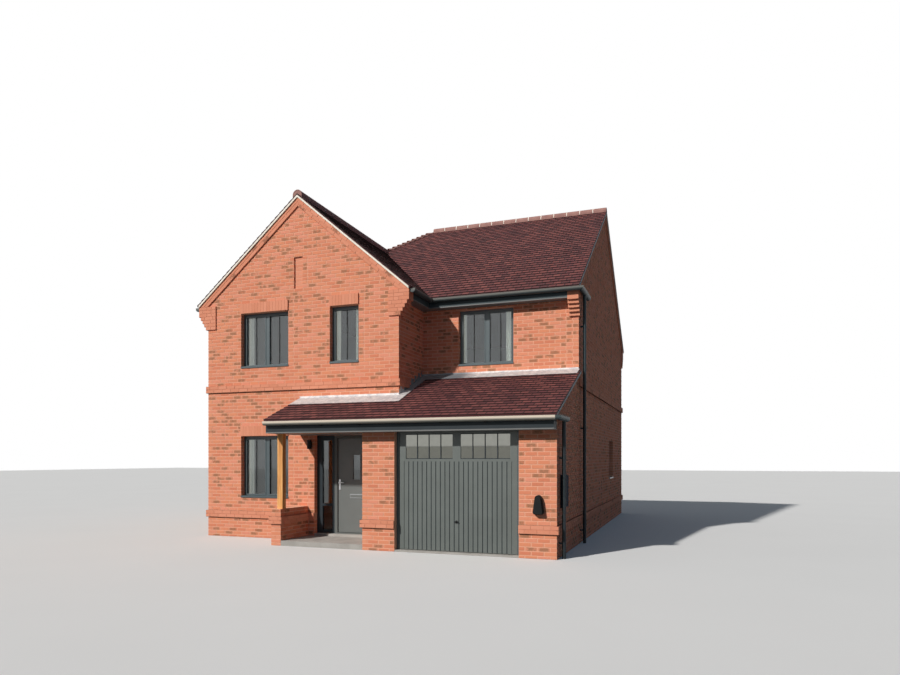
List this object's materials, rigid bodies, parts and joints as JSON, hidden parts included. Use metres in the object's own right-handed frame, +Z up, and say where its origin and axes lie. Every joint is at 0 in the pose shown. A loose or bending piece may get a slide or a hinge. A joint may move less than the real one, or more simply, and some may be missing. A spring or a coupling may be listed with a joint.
{
  "type": "detached house",
  "caption": "Detached two-storey brick house with a gabled bay, a hipped and gabled tiled roof, and a lean-to roof over a projecting garage and an open porch; hollow, with opening doors.",
  "frame": {"origin": "on the ground, in the middle of the plan between the side walls and between the garage front and the rear wall", "axes": "+X to the right along the front, +Y from the street front to the rear, +Z up"},
  "size_m": [8.62, 11.437, 8.2928],
  "materials": {
    "brick": "rough faced brick with pale mortar",
    "band_brick": "redder rough faced brick",
    "roof_tile": "matt plain clay tile",
    "ridge_tile": "matt clay",
    "verge": "pale cement",
    "concrete": "smooth concrete",
    "oak": "planed oak, oiled",
    "slate_frame": "satin",
    "soffit": "matt",
    "gutter": "satin",
    "lead": "dull weathered sheet",
    "door_grey": "satin paint",
    "door_metal": "satin steel",
    "black_fitting": "satin",
    "meter_box": "matt",
    "window_glass": "clear double glazing"
  },
  "bodies": {
    "root": {"ground_floor": "concrete", "first_floor": "concrete", "front_wall_left": "brick", "front_wall_right": "brick", "front_wall_over_door": "brick", "gable_front_wall": "brick", "gable_return_wall": "brick", "recess_wall": "brick", "garage_piers": "brick", "garage_lintel": "brick", "garage_side_walls": "brick", "right_side_wall": "brick", "right_gable_wall": "brick", "left_wall": "brick", "rear_wall": "brick", "porch_wall": "brick", "porch_post": "oak", "porch_beam": "oak", "roof_left_slope": "roof_tile", "roof_front_slope": "roof_tile", "roof_rear_slope": "roof_tile", "roof_gable_slope": "roof_tile", "lean_to_roof": "roof_tile", "ridge_tiles": "ridge_tile", "verge_trim": "verge", "brick_bands": "band_brick", "kneelers": "band_brick", "window_heads": "band_brick", "window_frames": "slate_frame", "window_sills": "slate_frame", "window_glass": "window_glass", "door_frame": "slate_frame", "fascias": "slate_frame", "soffits": "soffit", "gutters": "gutter", "downpipes": "gutter", "lead_flashings": "lead", "wall_lamp": "black_fitting", "charging_box": "black_fitting", "meter_box": "meter_box", "garage_door_frame": "slate_frame"},
    "front_door": {"front_door": "door_grey", "front_door_glass": "window_glass", "front_door_fittings": "door_metal"},
    "garage_arms": {"garage_door_arms": "door_metal"},
    "garage_door": {"garage_door": "door_grey", "garage_door_glass": "window_glass", "garage_door_handle": "black_fitting"}
  },
  "joints": [
    {"name": "front_door_hinge", "type": "hinge", "parent": "root", "child": "front_door", "pos_m": [0.0635, -4.171, 1.2], "axis": [0, 0, -1], "range_deg": [0, 90]},
    {"name": "garage_arm_swing", "type": "hinge", "parent": "root", "child": "garage_arms", "pos_m": [2.2025, -5.16, 2.05], "axis": [1, 0, 0], "range_deg": [0, 85]},
    {"name": "garage_door_tilt", "type": "hinge", "parent": "garage_arms", "child": "garage_door", "pos_m": [2.2025, -5.16, 1.35], "axis": [1, 0, 0], "range_deg": [-170, 0]}
  ],
  "couplings": [
    {"joint": "garage_door_tilt", "follows": "garage_arm_swing", "ratio": -2}
  ]
}
